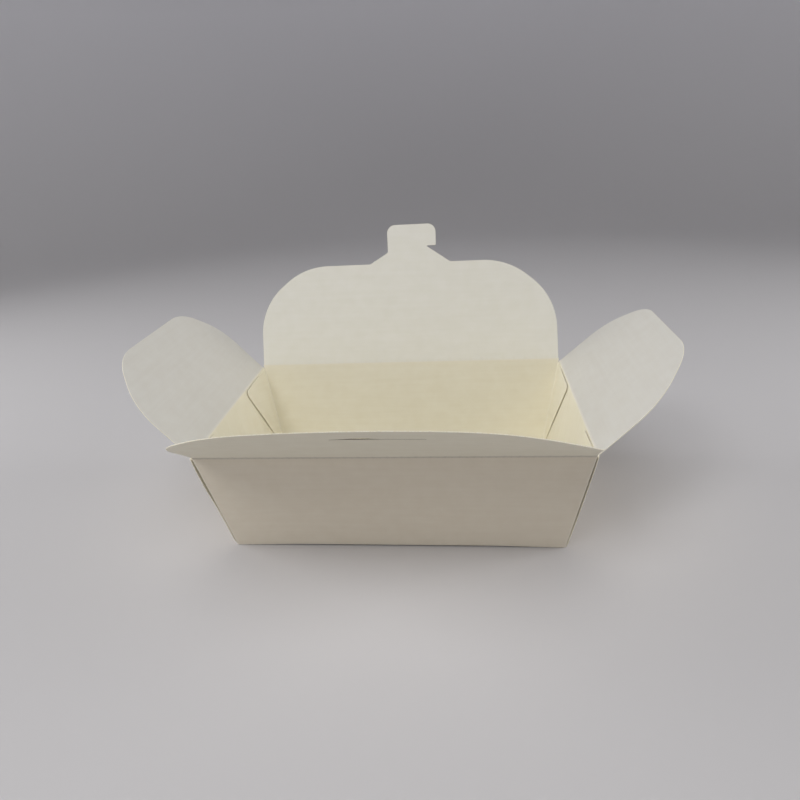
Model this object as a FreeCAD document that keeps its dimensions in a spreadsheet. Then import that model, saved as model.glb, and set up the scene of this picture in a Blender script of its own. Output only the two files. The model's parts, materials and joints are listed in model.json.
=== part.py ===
import FreeCAD, Part
import Sketcher
import os

# Open takeout food box, folded from one sheet of coated board: a tapered tray and its four lid flaps.
# Millimetres, +Z up. The origin is the centre of the underside, +X along the longer side,
# and the front of the box faces -Y.

doc = FreeCAD.newDocument("takeout_box")
sheet = doc.addObject("Spreadsheet::Sheet", "Sizes")

# Driving dimensions: alias, value, what it is
SIZES = [
    ("board", 0.45, "thickness of the board"),
    ("base_length", 180.0, "outside length of the base"),
    ("base_depth", 104.0, "outside depth of the base"),
    ("wall_height", 62.0, "height of the front crease above the table"),
    ("wall_spread", 10.0, "how far each wall leans out at the height of the front crease"),
    ("crease_step", 0.75, "height between the creases of flaps that close over each other"),
    ("crease_gap", 0.05, "distance of each scored edge from the fold line"),
    ("crease_angle", 38.0, "half angle of a scored edge, degrees"),
    ("crease_trim", 0.9, "how much shorter a flap's crease is than the rim, at each end"),
    ("back_tab_width", 39.0, "width of a back glue tab at the rim"),
    ("front_tab_width", 30.0, "width of a front glue tab at the rim"),
    ("tab_drop", 0.8, "how far a glue tab ends below its crease"),
    ("tab_shoulder", 3.0, "height of the rounded shoulder of a glue tab"),
    ("tab_round", 2.4, "radius of the glue tab's shoulder"),
    ("main_length", 64.5, "length of the front and back flaps"),
    ("main_side", 40.0, "length of their straight sides"),
    ("main_taper", 2.0, "how far these sides lean in"),
    ("main_shoulder", 33.0, "width of the sloped shoulder at each end"),
    ("main_low_round", 43.0, "radius between side and shoulder"),
    ("main_high_round", 45.0, "radius between shoulder and far edge"),
    ("tongue_neck", 24.5, "width of the tongue at its neck"),
    ("tongue_shift", 2.2, "sideways place of the neck's centre"),
    ("tongue_rise", 7.0, "height of the tongue's sloped root on its plain side"),
    ("tongue_flare", 12.0, "width of that sloped root"),
    ("tongue_round", 5.0, "radius of the tongue's corners"),
    ("hook_width", 6.5, "how far the hook stands out past the neck"),
    ("hook_reach", 75.0, "distance from the back crease to the hook's notch"),
    ("hook_length", 13.5, "how far the locking tongue goes on past that notch"),
    ("hook_flare", 15.5, "width of the sloped root on the hook's side"),
    ("slit_length", 40.0, "length of the slit that takes the tongue"),
    ("slit_width", 0.6, "width of that slit"),
    ("end_length", 61.0, "length of the left and right flaps"),
    ("end_side", 37.0, "length of their straight sides"),
    ("end_taper", 1.5, "how far these sides lean in"),
    ("end_shoulder", 24.0, "width of the sloped shoulder at each end"),
    ("end_low_round", 38.0, "radius between side and shoulder"),
    ("end_high_round", 28.0, "radius between shoulder and far edge"),
    ("back_angle", 77.0, "back flap above the outward horizontal, degrees"),
    ("front_angle", 39.0, "front flap above the outward horizontal, degrees"),
    ("left_angle", 49.0, "left flap above the outward horizontal, degrees"),
    ("right_angle", 44.0, "right flap above the outward horizontal, degrees"),
]
for row, (alias, size, meaning) in enumerate(SIZES, start=1):
    sheet.set(f"A{row}", meaning)
    sheet.set(f"B{row}", str(size))
    sheet.setAlias(f"B{row}", alias)
doc.recompute()

# Lengths that follow from the driving dimensions
LEAN = "atan(Sizes.wall_spread / Sizes.wall_height)"
SKIN = f"(Sizes.board / cos({LEAN}))"  # thickness of a leaning wall, measured level
FRONT_CREASE = "Sizes.wall_height"
BACK_CREASE = "(Sizes.wall_height + Sizes.crease_step)"
END_CREASE = "(Sizes.wall_height - Sizes.crease_step)"
BLANK_TOP = "(Sizes.wall_height + 2 * Sizes.crease_step)"


def spread_at(height):
    """How far the outside of a wall has leaned out at this height."""
    return f"(Sizes.wall_spread * ({height}) / Sizes.wall_height)"


def crease_at(size, height):
    """Distance from the middle of the box to the fold line of a wall, at mid-thickness."""
    return f"(Sizes.{size} / 2 + {spread_at(height)} - {SKIN} / 2)"


FRONT_LINE = crease_at("base_depth", FRONT_CREASE)
BACK_LINE = crease_at("base_depth", BACK_CREASE)
END_LINE = crease_at("base_length", END_CREASE)
SLIT_LINE = f"({FRONT_LINE} + {BACK_LINE} - Sizes.hook_reach)"
MAIN_HALF = f"({crease_at('base_length', FRONT_CREASE)} - Sizes.crease_trim)"
END_HALF = f"({crease_at('base_depth', END_CREASE)} - Sizes.crease_trim)"


def number(text):
    """The value of an expression over the sheet, in millimetres or degrees."""
    found = sheet.evalExpression(text)
    return float(getattr(found, "Value", found))


def origin_plane(body, role):
    return next(item for item in body.Origin.OriginFeatures if item.Role == role)


def polygon(body, name, role, loops):
    """A sketch of closed outlines whose corners are (x, y) expressions over the sheet."""
    sketch = body.newObject("Sketcher::SketchObject", name)
    sketch.AttachmentSupport = (origin_plane(body, role), "")
    sketch.MapMode = "FlatFace"
    for corners in loops:
        places = [FreeCAD.Vector(number(x), number(y), 0) for x, y in corners]
        first = sketch.GeometryCount
        for here, there in zip(places, places[1:] + places[:1]):
            sketch.addGeometry(Part.LineSegment(here, there), False)
        for step in range(len(corners)):
            line = first + step
            before = first + (step - 1) % len(corners)
            sketch.addConstraint(Sketcher.Constraint("Coincident", before, 2, line, 1))
            for kind, text, spot in (("DistanceX", corners[step][0], places[step].x),
                                     ("DistanceY", corners[step][1], places[step].y)):
                index = sketch.addConstraint(Sketcher.Constraint(kind, -1, 1, line, 1, spot))
                sketch.setExpression(f"Constraints[{index}]", text)
    return sketch


def pad(body, name, sketch, length):
    """Pushes a sketch out by half the length to each side."""
    feature = body.newObject("PartDesign::Pad", name)
    feature.Profile = sketch
    feature.Midplane = True
    feature.setExpression("Length", length)
    doc.recompute()


def cut_through(body, name, sketch):
    """Cuts a sketch right through the body, both ways."""
    feature = body.newObject("PartDesign::Pocket", name)
    feature.Profile = sketch
    feature.Midplane = True
    feature.Type = "ThroughAll"
    doc.recompute()


def round_corners(body, name, corners, radius, flat=("x", "y")):
    """Rounds the corners of the body's last pad, given as they stand in its sketch."""
    source = body.Tip
    wanted = [(number(across), number(up)) for across, up in corners]
    edges = []
    for index, edge in enumerate(source.Shape.Edges, start=1):
        ends = [[getattr(vertex.Point, axis) for axis in flat] for vertex in edge.Vertexes]
        if max(abs(a - b) for a, b in zip(ends[0], ends[-1])) > 1e-4:
            continue
        if any(abs(ends[0][0] - x) < 1e-3 and abs(ends[0][1] - y) < 1e-3 for x, y in wanted):
            edges.append(f"Edge{index}")
    if len(edges) != len(wanted):
        raise RuntimeError(f"{name}: {len(edges)} corners found, {len(wanted)} wanted")
    feature = body.newObject("PartDesign::Fillet", name)
    feature.Base = (source, edges)
    feature.setExpression("Radius", radius)
    doc.recompute()


def place(item, x, y, z, yaw, tilt):
    """Moves an object to (x, y, z), tilted about its own X axis and then turned about Z."""
    item.setExpression(
        "Placement",
        f"create(<<placement>>; create(<<vector>>; {x}; {y}; {z});"
        f" create(<<rotation>>; {yaw}; 0; {tilt}))")


def frustum(name, inset_x, inset_y, bottom):
    """The solid inside four leaning faces, drawn in by the insets from the outside of the tray."""
    item = doc.addObject("Part::Wedge", name)
    sides = (("X", "X2", "base_length", inset_x), ("Z", "Z2", "base_depth", inset_y))
    item.setExpression("Ymin", bottom)
    item.setExpression("Ymax", BLANK_TOP)
    for low, high, size, inset in sides:
        for face, height in ((low, bottom), (high, BLANK_TOP)):
            reach = f"(Sizes.{size} / 2 + {spread_at(height)} - {inset})"
            item.setExpression(face + "min", f"-{reach}")
            item.setExpression(face + "max", reach)
    item.Placement.Rotation = FreeCAD.Rotation(FreeCAD.Vector(1, 0, 0), 90)
    return item


def combine(kind, name, **links):
    item = doc.addObject(kind, name)
    for link, target in links.items():
        setattr(item, link, target)
    return item


def rim_cut(name, half_length, x, y, z, yaw):
    """What is cut away above a wall's scored edge, so that its flap can fold both ways."""
    body = doc.addObject("PartDesign::Body", name)
    side = "Sizes.board"
    foot = f"-(Sizes.crease_gap + {side} / tan(Sizes.crease_angle * 1 deg))"
    top = "6 * Sizes.crease_step"
    outline = [("0", "-Sizes.crease_gap"), (side, foot), (side, top),
               (f"-{side}", top), (f"-{side}", foot)]
    sketch = polygon(body, name + "_outline", "YZ_Plane", [outline])
    pad(body, name + "_pad", sketch, f"2 * {half_length}")
    place(body, x, y, z, yaw, f"-{LEAN}")
    return body


# Tray: base, four leaning walls, and four glue tabs that turn round the corners from the front and
# back walls and lie against the inside of the end walls
outside = frustum("outside", "0", "0", "0")
inside = frustum("inside", SKIN, SKIN, "Sizes.board")
core = frustum("core", f"2 * {SKIN}", SKIN, "Sizes.board")
shell = combine("Part::Cut", "shell", Base=outside, Tool=inside)

TAB_TOP = f"({END_CREASE} - Sizes.tab_drop)"
RIM_DEPTH = f"(Sizes.base_depth / 2 + {spread_at(END_CREASE)})"


def tab_outline(side, width):
    """Corners of a glue tab seen along the box; side is a sign, the tab's point is at the base."""
    far = f"{side}({RIM_DEPTH} + Sizes.wall_spread)"
    edge = f"({RIM_DEPTH} - Sizes.{width})"
    return [(far, "0"), (f"{side}Sizes.base_depth / 2", "0"),
            (f"{side}{edge}", f"{TAB_TOP} - Sizes.tab_shoulder"),
            (f"{side}({edge} + Sizes.tab_shoulder / 2)", TAB_TOP), (far, TAB_TOP)]


back_tab = tab_outline("", "back_tab_width")
front_tab = tab_outline("-", "front_tab_width")
tab_body = doc.addObject("PartDesign::Body", "tab_shape")
tab_sketch = polygon(tab_body, "tab_outline", "YZ_Plane", [back_tab, front_tab])
pad(tab_body, "tab_pad", tab_sketch, "2 * Sizes.base_length")
shoulders = back_tab[2:4] + front_tab[2:4]
round_corners(tab_body, "tab_rounding", shoulders, "Sizes.tab_round", ("y", "z"))

inside_tabs = combine("Part::MultiCommon", "inside_tabs", Shapes=[inside, tab_body])
tabs = combine("Part::Cut", "tabs", Base=inside_tabs, Tool=core)
blank = combine("Part::MultiFuse", "blank", Shapes=[shell, tabs])

# The four walls' rims: label, half length, x, y, z and turn about Z
LONG_RIM = "(Sizes.base_length / 2 + 2 * Sizes.wall_spread)"
SHORT_RIM = "(Sizes.base_depth / 2 + 2 * Sizes.wall_spread)"
RIMS = [
    ("front_rim", LONG_RIM, "0", f"-{FRONT_LINE}", FRONT_CREASE, "180"),
    ("back_rim", LONG_RIM, "0", BACK_LINE, BACK_CREASE, "0"),
    ("left_rim", SHORT_RIM, f"-{END_LINE}", "0", END_CREASE, "90"),
    ("right_rim", SHORT_RIM, END_LINE, "0", END_CREASE, "-90"),
]
rims = combine("Part::MultiFuse", "rims", Shapes=[rim_cut(*rim) for rim in RIMS])
tray = combine("Part::Cut", "tray", Base=blank, Tool=rims)


# Flaps: drawn lying flat, hinged along X and reaching to +Y, then turned to where they stand open
def flap(name, outline, roundings, slit=None):
    """roundings lists groups of the outline's corners with the radius of each group."""
    body = doc.addObject("PartDesign::Body", name)
    pad(body, name + "_board", polygon(body, name + "_outline", "XY_Plane", [outline]), "Sizes.board")
    for corners, radius in roundings:
        round_corners(body, f"{name}_{radius}", corners, f"Sizes.{radius}")
    skin = "Sizes.board / 2"
    slope = f"(Sizes.crease_gap + {skin} / tan(Sizes.crease_angle * 1 deg))"
    board = "Sizes.board"
    score = [("Sizes.crease_gap", "0"), (slope, skin), (slope, board), (f"-{board}", board),
             (f"-{board}", f"-{board}"), (slope, f"-{board}"), (slope, f"-{skin}")]
    cut_through(body, name + "_crease", polygon(body, name + "_score", "YZ_Plane", [score]))
    if slit:
        cut_through(body, name + "_slit", polygon(body, name + "_slit_outline", "XY_Plane", [slit]))
    return body


def flap_side(half, taper, straight, shoulder, length):
    """Root, low and high corner on the right of a flap."""
    return [(half, "0"), (f"{half} - Sizes.{taper}", f"Sizes.{straight}"),
            (f"{half} - Sizes.{shoulder}", f"Sizes.{length}")]


def mirror(corner):
    return (f"-({corner[0]})", corner[1])


def rectangle(x, y, width, depth):
    return [(f"{x} {a} {width} / 2", f"{y} {b} {depth} / 2") for a, b in ("--", "+-", "++", "-+")]


root, low, high = flap_side(MAIN_HALF, "main_taper", "main_side", "main_shoulder", "main_length")
main_right = [root, low, high]
main_left = [mirror(high), mirror(low), mirror(root)]
main_rounds = [([low, mirror(low)], "main_low_round"), ([high, mirror(high)], "main_high_round")]

root, low, high = flap_side(END_HALF, "end_taper", "end_side", "end_shoulder", "end_length")
end_outline = [root, low, high, mirror(high), mirror(low), mirror(root)]
end_rounds = [([low, mirror(low)], "end_low_round"), ([high, mirror(high)], "end_high_round")]

NECK_LEFT = "(Sizes.tongue_shift - Sizes.tongue_neck / 2)"
NECK_RIGHT = "(Sizes.tongue_shift + Sizes.tongue_neck / 2)"
HOOK = f"({NECK_RIGHT} + Sizes.hook_width)"
TONGUE_REACH = "(Sizes.hook_reach + Sizes.hook_length)"
tongue_tip = [(HOOK, TONGUE_REACH), (NECK_LEFT, TONGUE_REACH)]
tongue = [
    (f"{NECK_RIGHT} + Sizes.hook_flare", "Sizes.main_length"),
    (NECK_RIGHT, "Sizes.hook_reach"),
    (HOOK, "Sizes.hook_reach"),
    *tongue_tip,
    (NECK_LEFT, "Sizes.main_length + Sizes.tongue_rise"),
    (f"{NECK_LEFT} - Sizes.tongue_flare", "Sizes.main_length"),
]
slit = rectangle("-Sizes.tongue_shift", SLIT_LINE, "Sizes.slit_length", "Sizes.slit_width")

back_outline = main_right + tongue + main_left
back_flap = flap("back_flap", back_outline, main_rounds + [(tongue_tip, "tongue_round")])
front_flap = flap("front_flap", main_right + main_left, main_rounds, slit)
left_flap = flap("left_flap", end_outline, end_rounds)
right_flap = flap("right_flap", end_outline, end_rounds)

place(back_flap, "0", BACK_LINE, BACK_CREASE, "0", "Sizes.back_angle")
place(front_flap, "0", f"-{FRONT_LINE}", FRONT_CREASE, "180", "Sizes.front_angle")
place(left_flap, f"-{END_LINE}", "0", END_CREASE, "90", "Sizes.left_angle")
place(right_flap, END_LINE, "0", END_CREASE, "-90", "Sizes.right_angle")
doc.recompute()

for item in doc.Objects:
    if "Invalid" in item.State or "Error" in item.State:
        raise RuntimeError(f"{item.Label} could not be computed: {item.State}")

os.makedirs("parts", exist_ok=True)
for item in (tray, back_flap, front_flap, left_flap, right_flap):
    if item.Shape.isNull() or not item.Shape.isValid() or len(item.Shape.Solids) != 1:
        raise RuntimeError(f"{item.Label} is not one valid solid")
    item.Shape.exportStep(f"parts/{item.Label}.step")
    print(f"{item.Label}: {item.Shape.Volume:.0f} cubic millimetres")

CREASES = [
    ("front", FRONT_LINE, FRONT_CREASE),
    ("back", BACK_LINE, BACK_CREASE),
    ("end", END_LINE, END_CREASE),
]
for label, line, height in CREASES:
    print(f"{label} crease: {number(line):.3f} from the middle, {number(height):.3f} up")
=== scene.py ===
import bpy
import json
import math
from mathutils import Matrix, Vector
from mathutils.geometry import delaunay_2d_cdt


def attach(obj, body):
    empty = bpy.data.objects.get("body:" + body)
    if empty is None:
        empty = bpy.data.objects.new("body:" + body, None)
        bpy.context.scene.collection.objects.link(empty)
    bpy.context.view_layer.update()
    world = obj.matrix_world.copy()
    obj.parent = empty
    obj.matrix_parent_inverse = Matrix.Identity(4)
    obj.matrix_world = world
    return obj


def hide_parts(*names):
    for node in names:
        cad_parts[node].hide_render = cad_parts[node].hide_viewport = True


# Open takeout food box of coated board. The tray is one blank, drawn flat and folded up;
# each lid flap is a panel of the same board at its crease.
# Sizes are in millimetres, as in the solids; meshes are made in metres.
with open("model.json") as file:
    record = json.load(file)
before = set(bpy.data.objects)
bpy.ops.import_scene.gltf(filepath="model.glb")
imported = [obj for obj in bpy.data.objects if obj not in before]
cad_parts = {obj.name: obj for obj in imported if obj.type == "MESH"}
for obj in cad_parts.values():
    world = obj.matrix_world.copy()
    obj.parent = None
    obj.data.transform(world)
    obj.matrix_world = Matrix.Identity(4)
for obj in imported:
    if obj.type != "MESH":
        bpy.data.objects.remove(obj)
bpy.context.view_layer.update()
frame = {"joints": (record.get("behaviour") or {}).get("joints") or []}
MM = 0.001

# Board and tray
BOARD = 0.45
EDGE = 0.09             # rounding of a cut edge
BASE_LENGTH = 180.0
BASE_DEPTH = 104.0
WALL_HEIGHT = 62.0
WALL_SPREAD = 10.0      # how far a wall leans out at that height
LEAN = math.atan(WALL_SPREAD / WALL_HEIGHT)
SKIN = BOARD / math.cos(LEAN)
FOLD = 0.6              # reach of a rounded fold to each side of its crease
MESH = 3.5              # spacing of the points inside a panel
BESIDE = (0.6, 1.2)     # distances of the rows of points beside a lid crease
ROW_GAP = 0.25          # smallest distance of a point in a row from an edge
MITRE_LIMIT = 0.35      # keeps an edge that is drawn in from running off at a sharp corner
EDGE_RINGS = 5          # rows of points across the thickness of an edge
NEAR = 0.01             # a point this near to a crease is on it
FAR = 99.0              # stands for a crease that is nowhere near

# Creases of the lid flaps, from the frame: the middle of each
CREASES = {joint["child"]: Vector(joint["pos_m"]) / MM for joint in frame["joints"]}
CREASE_TRIM = 0.9       # a flap's crease is shorter than its wall's rim by this at each end
BEAD = 1.05             # swelling of a wall's scored edge, as a share of the board
WEDGE = 0.6             # slope, in the flat, between an end wall's part of a corner and the tab's

# Glue tabs
BACK_TAB, FRONT_TAB = 39.0, 30.0            # widths at the rim
TAB_DROP = 0.8          # a tab's top is this far below the end wall's rim
TAB_FOOT = (0.4, 0.9)   # where a tab starts: beside its corner, and above the base
TAB_SHOULDER = 3.0      # its cut-off corner
TAB_ROUND = 2.4
TAB_LIFT = 0.45         # how far a tab's free edge stands off the end wall
TAB_LIFT_FROM, TAB_LIFT_TO = 2.0, 24.0      # distances from its crease between which it rises
END_ROUND = 0.4         # rounding of an end wall's top corners
END_FOOT = (0.2, 0.1)   # where its side edge starts, past the base's corner

# Bends of the folded tray: an end wall's front edge stands off its corner, a long wall dips
# inwards at its middle, and the base's long edges stand off the table there
CORNER_FLARE = {"left": 0.9, "right": 0.4}
FLARE_START = {"left": 22.0, "right": 2.0}  # height up the wall where it begins
FLARE_RISE = 22.0       # height over which it grows to its full amount
FLARE_FROM, FLARE_TO = 38.0, 60.0           # it also grows forwards, between these distances
FLARE_EASE, FLARE_EASE_START = 0.4, 52.0    # share lost again at the rim, and from which height
WALL_BOW = {"front": 0.9, "back": 0.3}
BOW_FADE = 40.0         # distance from the middle where the dip begins to fade
BASE_LIFT = 0.8
LIFT_FADE = 50.0        # distance from the middle where the lift begins to fade
LIFT_STOP = 2.0         # how far before the corner it ends
LIFT_DEPTH = 25.0       # where it begins, from the base's middle line; it ends as far up the wall

# Lid flaps, main ones at front and back. A side edge runs straight to its height 'side' and
# leans in by its taper; the shoulder cuts the corner off, and two rounds soften it
MAIN_LENGTH, MAIN_SIDE, MAIN_TAPER, MAIN_SHOULDER = 64.5, 40.0, 2.0, 33.0
MAIN_LOW_ROUND, MAIN_HIGH_ROUND = 43.0, 45.0
END_LENGTH, END_SIDE, END_TAPER, END_SHOULDER = 61.0, 37.0, 1.5, 24.0
END_LOW_ROUND, END_HIGH_ROUND = 38.0, 28.0
TONGUE_REACH, HOOK_REACH = 88.5, 75.0
TONGUE_NECK, TONGUE_SHIFT = 24.5, 2.2
TONGUE_RISE, TONGUE_FLARE, TONGUE_ROUND = 7.0, 12.0, 5.0
TONGUE_FOOT_ROUND, NECK_ROUND = 3.0, 1.5
HOOK_WIDTH, HOOK_FLARE = 6.5, 15.5
HOOK_ROUND, NOTCH_ROUND = 0.8, 0.4
SLIT_LENGTH, SLIT_WIDTH = 40.0, 0.5
SLIT_GAPE = 0.5         # how far the slit's outer lip stands above the inner one, in its left half
NICKS = ((-24.7, 1.0), (-5.2, 0.6))  # waste board left on the front flap's free edge: x, height
NICK_WIDTH = 1.2        # at its foot
# How far each flap stands up from level, in degrees
ANGLES = {"back_flap": 77.0, "front_flap": 39.0, "left_flap": 49.0, "right_flap": 44.0}

# Curl of the flaps. The front one's right end rises to a soft ridge and then turns down
CURL_POWER = 1.6        # a curl grows with this power of the distance from the crease
BACK_WAVE, BACK_WAVE_WIDTH, BACK_WAVE_START = 0.5, 31.0, 5.0
FRONT_HANG = 4.7        # how far the front flap's free corners hang
RIGHT_FROM, RIGHT_TO = 0.35, 0.95           # where the right end begins, as shares of the half width
RIDGE_RISE, RIDGE_WIDTH = 0.3, 40.0         # the ridge, counted from the crease
RIDGE_FALL, FALL_FROM, FALL_TO = 1.8, 16.0, 44.0    # how far it turns down, and where
LIP_START, LIP_FADE, LIP_DEPTH = 2.0, 3.0, 6.0  # of the slit's raised lip, from the flap's middle
END_CURL = {"left": (1.2, 1.4), "right": (1.0, 1.6)}  # at the free edge: middle, more to one side

# Camera in front of the box and above it; angles in degrees
CAMERA_PLACE = (38.0, -311.7, 208.7)
CAMERA_PITCH, CAMERA_YAW, CAMERA_ROLL = 24.83, 6.82, 3.80
CAMERA_LENS, CAMERA_SENSOR = 27.0, 36.0


def smooth(value, low, high):
    """0 up to the low value, 1 from the high one, and a soft step between."""
    step = min(max((value - low) / (high - low), 0.0), 1.0)
    return step * step * (3 - 2 * step)


# Flat outlines
def rounded(corners, step=1.2):
    """Points of a closed outline from (x, y, radius) corners."""
    points = []
    for index, (x, y, radius) in enumerate(corners):
        here = Vector((x, y))
        before = Vector(corners[index - 1][:2]) - here
        after = Vector(corners[(index + 1) % len(corners)][:2]) - here
        if not radius:
            points.append(here)
            continue
        before.normalize()
        after.normalize()
        half = before.angle(after) / 2
        centre = here + (before + after).normalized() * (radius / math.sin(half))
        start = here + before * (radius / math.tan(half)) - centre
        turn = math.pi - 2 * half
        if before.x * after.y - before.y * after.x > 0:
            turn = -turn
        count = max(3, round(abs(turn) * radius / step))
        for k in range(count + 1):
            angle = turn * k / count
            points.append(centre + Vector((
                start.x * math.cos(angle) - start.y * math.sin(angle),
                start.x * math.sin(angle) + start.y * math.cos(angle))))
    return points


def divided(points, step=MESH):
    """The same closed outline with long sides divided."""
    out = []
    for here, there in zip(points, points[1:] + points[:1]):
        count = max(1, round((there - here).length / step))
        out += [here.lerp(there, k / count) for k in range(count)]
    return out


def inset(points, distance):
    """The closed outline moved to its left by the distance."""
    out = []
    for index, here in enumerate(points):
        back = (here - points[index - 1]).normalized()
        ahead = (points[(index + 1) % len(points)] - here).normalized()
        side = Vector((-back.y - ahead.y, back.x + ahead.x))
        side /= max(side.length_squared / 2, MITRE_LIMIT)
        out.append(here + side * distance)
    return out


def inside(point, loop):
    """Whether the point is inside the closed outline."""
    x, y = point
    found = False
    for a, b in zip(loop, loop[1:] + loop[:1]):
        if (a.y > y) != (b.y > y) and x < a.x + (y - a.y) * (b.x - a.x) / (b.y - a.y):
            found = not found
    return found


def clear_of(point, loops, distance):
    """Whether the point is further than this from every point of the loops."""
    return all((point - spot).length > distance for loop in loops for spot in loop)


def placed(name, data):
    """A new object in the scene."""
    item = bpy.data.objects.new(name, data)
    bpy.context.scene.collection.objects.link(item)
    return item


# Board from a flat outline
# SLIT is the slit's edge, painted dark as the shade in its gap
OUTER, CUT, INNER, SLIT = range(4)      # a sheet's materials
WORN_REACH = (0.1, 1.0)                 # distances from a crease between which its worn look fades
# the painted shade in a lid crease's score fades between these distances
SCORE_SHADE_REACH = (0.2, 1.4)                # the same for the dark score of a lid crease
SHARP = 35.0                            # edges that turn by more than this angle stay sharp


def edge_rings(spot, normal, outward, place):
    """Points round the edge of the board at one point of its outline, from face to face.

    A cut edge is square with worn corners. At a scored edge, where outward is given, the board
    ends in a half round about the fold line, so that it meets its neighbour at any angle.
    """
    half = BOARD / 2
    rings = []
    for k in range(1, EDGE_RINGS + 1):
        if outward:
            angle = math.pi * k / (EDGE_RINGS + 1)
            there = spot + outward * (half * math.sin(angle))
            rings.append(place(there.x, there.y) + normal * (half * math.cos(angle)))
        else:
            up = 1 - 2 * (k - 1) / (EDGE_RINGS - 1)
            rings.append(place(spot.x, spot.y) + normal * ((half - EDGE) * up))
    return rings


def triangulated(loops, rows, scored):
    """The flat sheet's points and faces, and the index of each loop point in them.

    Cut edges are drawn in by their rounding, scored ones aren't.
    """
    points = []
    edges = []
    for loop in loops:
        first = len(points)
        edges += [(first + k, first + (k + 1) % len(loop)) for k in range(len(loop))]
        moved = inset(loop, EDGE)
        points += [spot if scored(spot) else other for spot, other in zip(loop, moved)]
    rows = [spot for spot in rows if clear_of(spot, loops, ROW_GAP)]
    points += rows
    xs, ys = [p.x for p in loops[0]], [p.y for p in loops[0]]
    for i in range(int(min(xs) / MESH) - 1, int(max(xs) / MESH) + 2):
        for j in range(int(min(ys) / MESH) - 1, int(max(ys) / MESH) + 2):
            spot = Vector((i * MESH, (j + (i % 2) / 2) * MESH))
            if inside(spot, loops[0]) and clear_of(spot, loops + [rows], MESH / 2):
                points.append(spot)
    inner_faces, tolerance = 1, 1e-5
    flat, _, faces, origin, _, _ = delaunay_2d_cdt(points, edges, [], inner_faces, tolerance)
    found = {source: index for index, sources in enumerate(origin) for source in sources}

    def solid(face):
        middle = sum((flat[k] for k in face), Vector((0, 0))) / len(face)
        return not any(inside(middle, hole) for hole in loops[1:])

    return flat, [tuple(face) for face in faces if solid(face)], found


def board(name, outline, place, fold, scored, sides, holes=(), rows=()):
    """A sheet of board with cut edges: the flat outline, triangulated, put in place and thickened.

    outline runs anticlockwise and each hole clockwise. place gives a flat point's place at
    mid-thickness. fold gives its distances from the nearest crease and the nearest lid crease,
    whose score gets a painted shade on the outer face. scored gives the direction out of the panel
    where a point of the outline is on a crease. sides are the materials of the outer and the inner
    face. rows are flat points to keep.
    """
    loops = [divided(outline)] + [divided(hole) for hole in holes]
    flat, faces, found = triangulated(loops, rows, scored)

    # The sheet at mid-thickness, for its normals
    middle = bpy.data.meshes.new(name + "_middle")
    middle.from_pydata([place(p.x, p.y) for p in flat], [], faces)
    middle.update()
    normals = [vertex.normal.copy() for vertex in middle.vertices]
    spots = [vertex.co.copy() for vertex in middle.vertices]
    bpy.data.meshes.remove(middle)

    # The two faces
    half = BOARD / 2
    count = len(flat)
    verts = [p + n * half for p, n in zip(spots, normals)]
    verts += [p - n * half for p, n in zip(spots, normals)]
    flats = list(flat) * 2
    polys = list(faces) + [tuple(count + k for k in reversed(face)) for face in faces]
    kinds = [INNER] * len(faces) + [OUTER] * len(faces)

    # The edges, from face to face along each loop
    first = 0
    for loop in loops:
        size = len(loop)
        columns = []
        for k, spot in enumerate(loop):
            top = found[first + k]
            rings = edge_rings(spot, normals[top], scored(spot), place)
            ring = len(verts)
            verts += rings
            flats += [spot] * len(rings)
            columns.append([top] + list(range(ring, ring + len(rings))) + [count + top])
        for k, column in enumerate(columns):
            after = columns[(k + 1) % size]
            on_crease = scored(loop[k]) and scored(loop[(k + 1) % size])
            for a, b, c, d in zip(column, column[1:], after[1:], after):
                polys.append((a, b, c, d))
                kinds.append(INNER if on_crease else CUT if loop is loops[0] else SLIT)
        first += size

    # The mesh, with its flat map, its marks of wear and the painted shade of its lid scores
    mesh = bpy.data.meshes.new(name)
    mesh.from_pydata([v * MM for v in verts], [], polys)
    mesh.polygons.foreach_set("material_index", kinds)
    sheet_map = mesh.uv_layers.new(name="blank")
    for corner in mesh.loops:
        sheet_map.data[corner.index].uv = flats[corner.vertex_index] * MM
    folds = [fold(p.x, p.y) for p in flats]
    worn = mesh.attributes.new("fold", "FLOAT", "POINT")
    worn.data.foreach_set("value", [1 - smooth(near, *WORN_REACH) for near, _ in folds])
    # painted shade along the score of a lid crease, on the outer face only
    score_shade = mesh.attributes.new("score_shade", "FLOAT", "POINT")
    score_shade.data.foreach_set("value", [1 - smooth(lid, *SCORE_SHADE_REACH) if count <= k < 2 * count else 0.0
                                     for k, (_, lid) in enumerate(folds)])
    mesh.shade_smooth()
    mesh.set_sharp_from_angle(angle=math.radians(SHARP))
    mesh.validate()
    item = placed(name, mesh)
    for material in (sides[0], CUT_EDGE, sides[1], SLIT_EDGE_SHADED)[:4 if holes else 3]:
        mesh.materials.append(material)
    return item


def bend(distance, here, there):
    """Place along a rounded fold, from its crease: here and there point into the two panels."""
    if distance <= -FOLD:
        return here * -distance
    if distance >= FOLD:
        return there * distance
    share = (distance + FOLD) / (2 * FOLD)
    return here * (FOLD * (1 - share) ** 2) + there * (FOLD * share ** 2)


# Materials
def node(tree, kind, **settings):
    """A new shader node; each setting is one of its inputs or else of its properties."""
    item = tree.nodes.new(kind)
    for key, value in settings.items():
        if key in item.inputs.keys():
            item.inputs[key].default_value = value
        else:
            setattr(item, key, value)
    return item


def noise(tree, place, scale, detail=4.0, stretch=None):
    """Fractal noise over the object's own coordinates, in cycles per metre."""
    source = place
    if stretch:
        mapping = node(tree, "ShaderNodeMapping")
        mapping.inputs["Scale"].default_value = stretch
        tree.links.new(place, mapping.inputs["Vector"])
        source = mapping.outputs["Vector"]
    item = node(tree, "ShaderNodeTexNoise", Scale=scale, Detail=detail)
    tree.links.new(source, item.inputs["Vector"])
    return item.outputs["Fac"]


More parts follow.
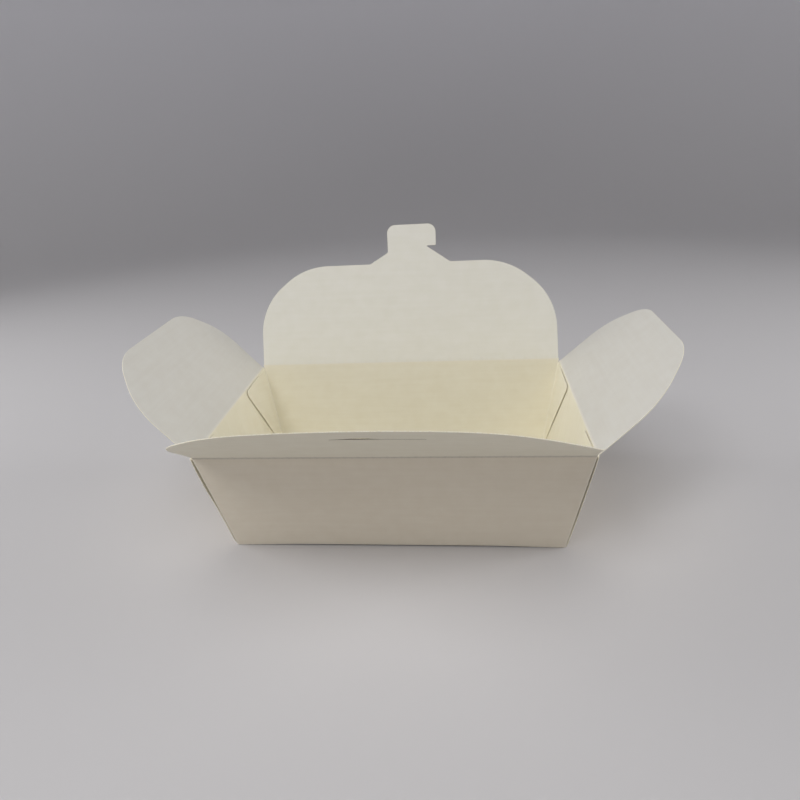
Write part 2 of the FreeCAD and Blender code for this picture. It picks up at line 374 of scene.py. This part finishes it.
def ramp(tree, source, stops):
    """Colours between (place, colour) stops, by the source's value."""
    item = node(tree, "ShaderNodeValToRGB")
    elements = item.color_ramp.elements
    for element, (place, colour) in zip(elements, (stops[0], stops[-1])):
        element.position, element.color = place, (*colour, 1)
    for place, colour in stops[1:-1]:
        elements.new(place).color = (*colour, 1)
    tree.links.new(source, item.inputs["Fac"])
    return item.outputs["Color"]


def linear(red, green, blue):
    """Scene-linear colour from a colour as a picture shows it, 0 to 255."""
    def channel(level):
        level /= 255
        return level / 12.92 if level <= 0.04045 else ((level + 0.055) / 1.055) ** 2.4
    return tuple(channel(level) for level in (red, green, blue))


def turned_to(tree, source, colour, attribute, share):
    """The source's colour turned by this share to another where the mesh's attribute is 1."""
    amount = node(tree, "ShaderNodeMath", operation="MULTIPLY")
    amount.inputs[1].default_value = share
    where = node(tree, "ShaderNodeAttribute", attribute_name=attribute)
    tree.links.new(where.outputs["Fac"], amount.inputs[0])
    mix = node(tree, "ShaderNodeMix", data_type="RGBA")
    mix.inputs["B"].default_value = (*linear(*colour), 1)
    tree.links.new(amount.outputs["Value"], mix.inputs["Factor"])
    tree.links.new(source, mix.inputs["A"])
    return mix.outputs["Result"]


def relief(tree, height, strength, distance, below=None):
    """A normal bent by a height, over the normal below it."""
    item = node(tree, "ShaderNodeBump", Strength=strength, Distance=distance)
    tree.links.new(height, item.inputs["Height"])
    if below:
        tree.links.new(below, item.inputs["Normal"])
    return item.outputs["Normal"]


def new_material(name):
    """The material, its node tree, its shader and the place on the object, in metres."""
    material = bpy.data.materials.new(name)
    material.use_nodes = True
    tree = material.node_tree
    place = node(tree, "ShaderNodeTexCoord").outputs["Object"]
    return material, tree, tree.nodes["Principled BSDF"], place


def board_face(name, low, high):
    """Clay-coated board: cream white, a little cloudy from its pulp with faint streaks along the
    grain, dull satin, with a slight fibre relief; the coating is rubbed paler along the folds,
    and a painted shade darkens the score lines of the lid. low and high bound its colour."""
    material, tree, shader, place = new_material(name)
    blank = node(tree, "ShaderNodeUVMap", uv_map="blank").outputs["UV"]
    pulp = node(tree, "ShaderNodeMix", data_type="FLOAT", Factor=0.4)
    tree.links.new(noise(tree, place, 130.0, 6.0), pulp.inputs["A"])
    tree.links.new(noise(tree, blank, 420.0, 3.0, (0.05, 1.0, 1.0)), pulp.inputs["B"])
    tint = ramp(tree, pulp.outputs["Result"], [(0.35, linear(*low)), (0.65, linear(*high))])
    rubbed = turned_to(tree, tint, (246, 241, 228), "fold", 0.5)
    # painted shade in the valley of each lid score
    score_shaded = turned_to(tree, rubbed, (128, 120, 102), "score_shade", 0.4)
    tree.links.new(score_shaded, shader.inputs["Base Color"])
    gloss = node(tree, "ShaderNodeMapRange")
    gloss.inputs["To Min"].default_value = 0.5
    gloss.inputs["To Max"].default_value = 0.68
    tree.links.new(noise(tree, place, 260.0, 3.0), gloss.inputs["Value"])
    tree.links.new(gloss.outputs["Result"], shader.inputs["Roughness"])
    shader.inputs["Specular IOR Level"].default_value = 0.35
    fibre = relief(tree, noise(tree, place, 900.0, 6.0, (1.0, 0.35, 1.0)), 0.12, 0.00006)
    wave = relief(tree, noise(tree, place, 28.0, 2.0), 0.12, 0.0006, below=fibre)
    tree.links.new(wave, shader.inputs["Normal"])
    return material


def cut_edge(name, low, high):
    """Bare cut edge: pulp with darker fibres, dull. low and high bound its colour."""
    material, tree, shader, place = new_material(name)
    tint = ramp(tree, noise(tree, place, 1400.0, 4.0), [(0.3, linear(*low)), (0.7, linear(*high))])
    tree.links.new(tint, shader.inputs["Base Color"])
    shader.inputs["Roughness"].default_value = 0.85
    pulp = relief(tree, noise(tree, place, 3000.0, 3.0), 0.5, 0.00005)
    tree.links.new(pulp, shader.inputs["Normal"])
    return material


# Each face has its own tint, painted light and shade on one board: the tray's inside is warmer for
# painted bounce light off its own walls, the main flaps' inner faces are paler for painted light, and
# the end flaps' inner faces and the flap backs are darker for painted shade
TRAY_OUTSIDE = board_face("coated_board", (236, 226, 206), (240, 231, 212))
FLAP_OUTSIDE_SHADED = board_face("coated_board_flap_backs_painted_shade", (233, 227, 208), (237, 232, 214))
TRAY_INSIDE_BOUNCE_TINT = board_face("coated_board_inside_painted_bounce", (242, 236, 215), (246, 241, 222))
MAIN_INSIDE_LIT = board_face("coated_board_main_flaps_painted_light", (243, 241, 230), (247, 245, 236))
END_INSIDE_SHADED = board_face("coated_board_end_flaps_painted_shade", (218, 215, 207), (222, 220, 213))
CUT_EDGE = cut_edge("cut_edge", (238, 229, 204), (250, 246, 233))
# the slit's cut edges are darkened: painted shade for the shadow in the slit's gap
SLIT_EDGE_SHADED = cut_edge("slit_edge_painted_shade", (139, 131, 114), (162, 153, 134))


# Tray
def middle_line(size, height):
    """Half the distance between two opposite walls, at mid-thickness."""
    return size / 2 + WALL_SPREAD * height / WALL_HEIGHT - SKIN / 2


FLOOR = BOARD / 2
END_X = middle_line(BASE_LENGTH, FLOOR)     # bottom crease of an end wall
WALL_Y = middle_line(BASE_DEPTH, FLOOR)     # bottom crease of the front and back walls
CORNER_X = END_X - SKIN                     # foot of the corner folds, inside the end walls


def slant(height):
    """Length up a wall from its bottom crease to this height."""
    return (height - FLOOR) / math.cos(LEAN)


RIM = {"front": slant(CREASES["front_flap"].z), "back": slant(CREASES["back_flap"].z),
       "end": slant(CREASES["left_flap"].z)}
UP = {"front": Vector((0, -math.sin(LEAN), math.cos(LEAN))),
      "back": Vector((0, math.sin(LEAN), math.cos(LEAN)))}


def corner_fold(side):
    """Foot of a corner fold in the flat wall, its direction and the direction away from the wall."""
    rise = RIM[side]
    out = WALL_SPREAD * rise * math.cos(LEAN) / WALL_HEIGHT
    along = Vector((out, rise)).normalized()
    return Vector((CORNER_X, 0)), along, Vector((along.y, -along.x))


def tab_corners(side, width):
    """A tab's corners in its wall's flat plane: across, up, radius; from its foot round to its top."""
    foot, along, away = corner_fold(side)
    top = slant(CREASES["left_flap"].z - TAB_DROP)
    rim = WALL_Y + WALL_SPREAD * top * math.cos(LEAN) / WALL_HEIGHT
    spots = [(WALL_Y - TAB_FOOT[0], TAB_FOOT[1], 0.0),
             (rim - width, top - TAB_SHOULDER, TAB_ROUND),
             (rim - width + TAB_SHOULDER / 2, top, TAB_ROUND),
             (rim, top, 0.0)]
    corners = []
    for y, up, radius in spots:
        offset = Vector((y - WALL_Y, up))
        spot = foot + along * offset.dot(along) - away * offset.dot(away)
        corners.append((spot.x, spot.y, radius))
    return corners


def quarter(side, width):
    """Outline of a quarter of the blank, from the end wall's rim round to the wall's rim."""
    end_rim = RIM["end"]
    spread = WALL_SPREAD / WALL_HEIGHT * math.cos(LEAN)
    half_depth = BASE_DEPTH / 2
    corners = [(END_X + end_rim, half_depth + spread * end_rim, END_ROUND),
               (END_X + END_FOOT[0], half_depth + END_FOOT[1], 0.0)]
    corners += [(x, WALL_Y + up, radius) for x, up, radius in tab_corners(side, width)]
    rim = RIM[side]
    corners.append((CORNER_X + spread * rim, WALL_Y + rim, 0.0))
    return corners


def turned(corners, mirror_x, mirror_y):
    """The same quarter mirrored, in the order that keeps the outline anticlockwise."""
    out = [(x * mirror_x, y * mirror_y, radius) for x, y, radius in corners]
    return out if mirror_x * mirror_y > 0 else out[::-1]


back, front = quarter("back", BACK_TAB), quarter("front", FRONT_TAB)
tray_outline = rounded(turned(back, 1, 1) + turned(back, -1, 1)
                       + turned(front, -1, -1) + turned(front, 1, -1))


def steps_along(length):
    """Distances from one end of a fold to its other end, closer near both ends."""
    near_end = [0.5, 1.0, 2.0]
    start, run = near_end[-1], length - 2 * near_end[-1]
    count = max(1, round(run / MESH))
    middle = [start + run * k / count for k in range(1, count)]
    return near_end + middle + [length - spot for spot in reversed(near_end)]


def fold_rows():
    """Points along the folds of the blank: the base, the corners and the rims."""
    rows = []
    offsets = (-2 * FOLD, -FOLD, -FOLD / 2, 0, FOLD / 2, FOLD, 2 * FOLD)
    for step in steps_along(2 * CORNER_X):
        x = step - CORNER_X
        for sign in (-1, 1):
            rows += [Vector((x, sign * (WALL_Y + offset))) for offset in offsets]
    for step in steps_along(2 * WALL_Y):
        y = step - WALL_Y
        for sign in (-1, 1):
            rows += [Vector((sign * (END_X + offset), y)) for offset in offsets]
    for side, sign_y in (("front", -1), ("back", 1)):
        foot, along, away = corner_fold(side)
        for lift in steps_along(RIM["end"] / along.y):
            for offset in offsets:
                spot = foot + along * lift + away * offset
                rows += [Vector((sign_x * spot.x, sign_y * (WALL_Y + spot.y))) for sign_x in (-1, 1)]
    past_corner, past_end = 7.0, 9.0    # how far these rows run on past the base's creases
    for drop in BESIDE:
        for step in steps_along(2 * (CORNER_X + past_corner)):
            x = step - CORNER_X - past_corner
            rows += [Vector((x, sign * (WALL_Y + RIM[side] - drop)))
                     for side, sign in (("front", -1), ("back", 1))]
        for step in steps_along(2 * (WALL_Y + past_end)):
            y = step - WALL_Y - past_end
            rows += [Vector((sign * (END_X + RIM["end"] - drop), y)) for sign in (-1, 1)]
    return rows


def place_wall(x, y):
    """A point of the front or back wall, or of one of its tabs."""
    side, sign_y = ("front", -1) if y < 0 else ("back", 1)
    sign_x = -1 if x < 0 else 1
    foot, along, away = corner_fold(side)
    offset = Vector((abs(x), abs(y) - WALL_Y)) - foot
    lift, out = offset.dot(along), offset.dot(away)

    def on_wall(spot):
        base = Vector((sign_x * spot.x, sign_y * WALL_Y, FLOOR))
        height = min(max(spot.y / RIM[side], 0.0), 1.0)
        dip = math.sin(math.pi * height) * (1 - smooth(spot.x, BOW_FADE, CORNER_X))
        base.y -= sign_y * WALL_BOW[side] * dip
        return base + bend(spot.y, Vector((0, -sign_y, 0)), UP[side])

    if out <= -FOLD:
        return on_wall(Vector((abs(x), abs(y) - WALL_Y)))
    crease = foot + along * lift
    end_up = Vector((sign_x * math.sin(LEAN), 0, math.cos(LEAN)))
    into_wall = Vector((sign_x * -away.x, 0, 0)) + UP[side] * -away.y
    into_tab = Vector((0, sign_y * -along.y, 0)) + end_up * along.x
    spot = on_wall(crease) + bend(out, into_wall, into_tab)
    spot.x -= sign_x * TAB_LIFT * smooth(out, TAB_LIFT_FROM, TAB_LIFT_TO)
    return spot


def place_end(x, y):
    """A point of an end wall."""
    sign_x = -1 if x < 0 else 1
    up = abs(x) - END_X
    direction = Vector((sign_x * math.sin(LEAN), 0, math.cos(LEAN)))
    spot = Vector((sign_x * END_X, y, FLOOR)) + bend(up, Vector((-sign_x, 0, 0)), direction)
    side = "left" if x < 0 else "right"
    start = FLARE_START[side]
    flare = smooth(-y, FLARE_FROM, FLARE_TO) * smooth(up, start, start + FLARE_RISE)
    flare *= 1 - FLARE_EASE * smooth(up, FLARE_EASE_START, RIM["end"])
    spot.x += sign_x * CORNER_FLARE[side] * flare
    return spot


def base_lift(x, y):
    """The long edges of the base rise a little off the table between the corners."""
    along = 1 - smooth(abs(x), LIFT_FADE, CORNER_X - LIFT_STOP)
    across = smooth(abs(y), LIFT_DEPTH, WALL_Y) * (1 - smooth(abs(y), WALL_Y, WALL_Y + LIFT_DEPTH))
    return Vector((0, 0, BASE_LIFT * along * across))


def past_creases(x, y):
    """How far a point of the blank is past the bottom creases, and whether it is on an end wall."""
    over_x, over_y = abs(x) - END_X, abs(y) - WALL_Y
    return over_x, over_y, over_x > 0 and over_y < WEDGE * over_x


def place_tray(x, y):
    over_x, over_y, on_end = past_creases(x, y)
    if on_end:
        return place_end(x, y)
    if over_y > 0:
        return place_wall(x, y) + base_lift(x, y)
    spot = Vector((x, y, FLOOR)) + base_lift(x, y)
    if over_x > -FOLD:
        spot = place_end(x, y)
    if over_y > -FOLD:
        spot += place_wall(x, y) - Vector((x, y, FLOOR))
    return spot


def tray_scored(spot):
    """The direction out of a wall where a point of the blank's outline is on its rim's crease."""
    over_x, over_y, on_end = past_creases(*spot)
    side = "front" if spot.y < 0 else "back"
    if on_end and over_x > RIM["end"] - NEAR:
        return Vector((math.copysign(BEAD, spot.x), 0))
    if over_y > RIM[side] - NEAR:
        return Vector((0, math.copysign(BEAD, spot.y)))
    return None


def tray_fold(x, y):
    """Distances of a point of the blank from the nearest crease and the nearest lid crease."""
    over_x, over_y, on_end = past_creases(x, y)
    side = "front" if y < 0 else "back"
    if on_end:
        rim = abs(RIM["end"] - over_x)
        return min(over_x, rim), rim
    foot, _, away = corner_fold(side)
    corner = (Vector((abs(x), over_y)) - foot).dot(away)
    rim = abs(RIM[side] - over_y)
    beside = abs(corner) if over_y > 0 else abs(over_x)
    return min(abs(over_y), rim, beside), rim if corner < 0 else FAR


tray = board("tray_board", tray_outline, place_tray, tray_fold, tray_scored,
             (TRAY_OUTSIDE, TRAY_INSIDE_BOUNCE_TINT), rows=fold_rows())
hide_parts("tray")
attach(tray, "tray")


# Lid flaps, flat: hinge along x, reaching to +y
def flap_side(half, taper, straight, shoulder, length, low_round, high_round):
    """Corners of a flap's right side, from its crease up."""
    return [(half, 0.0, 0.0), (half - taper, straight, low_round),
            (half - shoulder, length, high_round)]


def mirrored(corners):
    """The left side of a flap from its right side, from its free edge down."""
    return [(-x, y, radius) for x, y, radius in reversed(corners)]


MAIN_HALF = middle_line(BASE_LENGTH, CREASES["front_flap"].z) - CREASE_TRIM
END_HALF = middle_line(BASE_DEPTH, CREASES["left_flap"].z) - CREASE_TRIM
main_side = flap_side(MAIN_HALF, MAIN_TAPER, MAIN_SIDE, MAIN_SHOULDER, MAIN_LENGTH,
                      MAIN_LOW_ROUND, MAIN_HIGH_ROUND)
end_side = flap_side(END_HALF, END_TAPER, END_SIDE, END_SHOULDER, END_LENGTH,
                     END_LOW_ROUND, END_HIGH_ROUND)
neck_left = TONGUE_SHIFT - TONGUE_NECK / 2
neck_right = TONGUE_SHIFT + TONGUE_NECK / 2
hook = neck_right + HOOK_WIDTH
tongue = [
    (neck_right + HOOK_FLARE, MAIN_LENGTH, TONGUE_FOOT_ROUND),
    (neck_right, HOOK_REACH, NOTCH_ROUND),
    (hook, HOOK_REACH, HOOK_ROUND),
    (hook, TONGUE_REACH, TONGUE_ROUND),
    (neck_left, TONGUE_REACH, TONGUE_ROUND),
    (neck_left, MAIN_LENGTH + TONGUE_RISE, NECK_ROUND),
    (neck_left - TONGUE_FLARE, MAIN_LENGTH, TONGUE_FOOT_ROUND),
]
slit_line = CREASES["back_flap"].y - CREASES["front_flap"].y - HOOK_REACH
slit_left, slit_right = SLIT_LENGTH / 2 - TONGUE_SHIFT, -SLIT_LENGTH / 2 - TONGUE_SHIFT
slit_low, slit_high = slit_line - SLIT_WIDTH / 2, slit_line + SLIT_WIDTH / 2
slit = [Vector((slit_right, slit_low)), Vector((slit_right, slit_high)),
        Vector((slit_left, slit_high)), Vector((slit_left, slit_low))]


# Curl of the flaps out of their planes, in millimetres towards their inner faces
def free_share(y, length):
    """How much of a flap's curl shows at this distance from its crease."""
    return (max(y, 0.0) / length) ** CURL_POWER


def back_curl(x, y):
    """A slight wave across the flap."""
    return BACK_WAVE * math.sin(x / BACK_WAVE_WIDTH) * smooth(y, BACK_WAVE_START, MAIN_LENGTH)


def front_curl(x, y):
    """Both ends hang; the right one first rises to a soft ridge and then turns down. The slit's
    outer lip stands up in the half that shows open."""
    share = x / MAIN_HALF
    hang = -FRONT_HANG * share ** 2 * free_share(y, MAIN_LENGTH)
    right = smooth(-share, RIGHT_FROM, RIGHT_TO)
    rise = RIDGE_RISE * math.sin(math.pi * smooth(y, 0.0, RIDGE_WIDTH))
    fall = RIDGE_FALL * smooth(y, FALL_FROM, FALL_TO)
    beside = smooth(x, -LIP_START, LIP_START) * (1 - smooth(x, LIP_FADE, slit_left))
    above = (1 - smooth(y, slit_line, slit_line + LIP_DEPTH)) * (y > slit_line)
    return hang + right * (rise - fall) + SLIT_GAPE * beside * above


def end_curl(side):
    """The free edge bends inwards, more at one corner."""
    middle, slope = END_CURL[side]
    return lambda x, y: (middle + slope * x / END_HALF) * free_share(y, END_LENGTH)


def flap(name, outward, outline, curl, inner_face, holes=()):
    """A lid flap at its crease; outward is the level direction that it opens to."""
    crease = CREASES[name]
    angle = math.radians(ANGLES[name])
    reach = outward * math.cos(angle) + Vector((0, 0, math.sin(angle)))
    along = outward.cross(Vector((0, 0, 1)))
    face = along.cross(reach)
    half = max(x for x, _, _ in outline)

    def place(x, y):
        return crease + along * x + reach * y + face * curl(x, y)

    def scored(spot):
        return Vector((0, -1)) if spot.y < NEAR else None

    rows = [Vector((step - half, up)) for up in BESIDE for step in steps_along(2 * half)]
    item = board(name + "_board", rounded(outline), place, lambda x, y: (y, y), scored,
                 (FLAP_OUTSIDE_SHADED, inner_face), holes, rows)
    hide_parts(name)
    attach(item, name)


nicks = []
for nick, rise in reversed(NICKS):
    for across, up in ((1 / 2, 0.0), (1 / 3, 1.0), (-1 / 4, 0.8), (-1 / 2, 0.0)):
        nicks.append((nick + across * NICK_WIDTH, MAIN_LENGTH + up * rise, 0.0))
main_outline = main_side + nicks + mirrored(main_side)
end_outline = end_side + mirrored(end_side)
back_outline = main_side + tongue + mirrored(main_side)
flap("back_flap", Vector((0, 1, 0)), back_outline, back_curl, MAIN_INSIDE_LIT)
flap("front_flap", Vector((0, -1, 0)), main_outline, front_curl, MAIN_INSIDE_LIT, [slit])
flap("left_flap", Vector((-1, 0, 0)), end_outline, end_curl("left"), END_INSIDE_SHADED)
flap("right_flap", Vector((1, 0, 0)), end_outline, end_curl("right"), END_INSIDE_SHADED)


# Studio: pale floor running up into a backdrop, soft light, camera
def studio_material(name, floor, wall):
    """Plain matt paper, paler where it rises behind the box: painted light on the backdrop, which the
    lamps, aimed at the box, reach less.
    """
    material, tree, shader, place = new_material(name)
    height = node(tree, "ShaderNodeSeparateXYZ")
    tree.links.new(place, height.inputs["Vector"])
    tint = ramp(tree, height.outputs["Z"], [(0.0, linear(*floor)), (0.5, linear(*wall))])
    tree.links.new(tint, shader.inputs["Base Color"])
    shader.inputs["Roughness"].default_value = 0.9
    return material


def bowl():
    """Round floor that curves up all round into the backdrop."""
    radius, curve, height, turns, steps = 1.7, 0.8, 1.9, 96, 20
    profile = [(0.2, 0.0), (radius - curve, 0.0)]
    for k in range(1, steps + 1):
        angle = math.pi / 2 * k / steps
        profile.append((radius - curve + curve * math.sin(angle), curve - curve * math.cos(angle)))
    profile.append((radius, height))
    verts = [(0.0, 0.0, 0.0)]
    for reach, z in profile:
        for k in range(turns):
            angle = 2 * math.pi * k / turns
            verts.append((reach * math.cos(angle), reach * math.sin(angle), z))
    faces = [(0, 1 + k, 1 + (k + 1) % turns) for k in range(turns)]
    for row in range(len(profile) - 1):
        low, high = 1 + row * turns, 1 + (row + 1) * turns
        for k in range(turns):
            after = (k + 1) % turns
            faces.append((low + k, high + k, high + after, low + after))
    mesh = bpy.data.meshes.new("studio_bowl")
    mesh.from_pydata(verts, [], faces)
    mesh.shade_smooth()
    item = placed("studio_bowl", mesh)
    # the backdrop's paler colour is painted light
    mesh.materials.append(studio_material("studio_paper", (208, 206, 207), (244, 243, 247)))


def lamp(name, place, target, size, power, spread):
    light = bpy.data.lights.new(name, "AREA")
    light.shape = "DISK"
    light.size = size
    light.energy = power
    light.spread = math.radians(spread)
    item = placed(name, light)
    item.location = place
    item.rotation_euler = (Vector(target) - Vector(place)).to_track_quat("-Z", "Y").to_euler()


def camera():
    pitch, yaw, roll = (math.radians(a) for a in (CAMERA_PITCH, CAMERA_YAW, CAMERA_ROLL))
    right = Vector((math.cos(yaw), math.sin(yaw), 0))
    ahead = Vector((-math.sin(yaw), math.cos(yaw), 0)) * math.cos(pitch)
    ahead.z = -math.sin(pitch)
    down = ahead.cross(right)
    tilted = right * math.cos(roll) + down * math.sin(roll)
    below = down * math.cos(roll) - right * math.sin(roll)
    lens = bpy.data.cameras.new("camera")
    lens.lens, lens.sensor_width = CAMERA_LENS, CAMERA_SENSOR
    item = placed("camera", lens)
    turn = Matrix((tilted, -below, -ahead)).transposed()
    item.matrix_world = Matrix.Translation(Vector(CAMERA_PLACE) * MM) @ turn.to_4x4()
    bpy.context.scene.camera = item


bowl()
# Name, place, width, power in watts, spread in degrees; each shines on the middle of the box
LAMPS = [
    ("key", (-0.2, -0.75, 1.25), 0.9, 3.55, 180),
    ("top", (0.0, -0.35, 1.4), 0.9, 3.45, 180),
    ("left", (-1.1, 0.1, 0.42), 0.6, 1.55, 100),
    ("right", (1.1, 0.1, 0.42), 0.6, 1.5, 100),
    ("low", (-0.5, -0.75, 1.05), 0.4, 2.6, 180),
]
for name, place, width, power, spread in LAMPS:
    lamp(name, place, (0, 0, 0.05), width, power, spread)
camera()
world = bpy.data.worlds.new("world")
world.use_nodes = True
world.node_tree.nodes["Background"].inputs["Color"].default_value = (*linear(225, 226, 232), 1)
world.node_tree.nodes["Background"].inputs["Strength"].default_value = 0.04
bpy.context.scene.world = world
bpy.context.scene.view_settings.view_transform = "Standard"
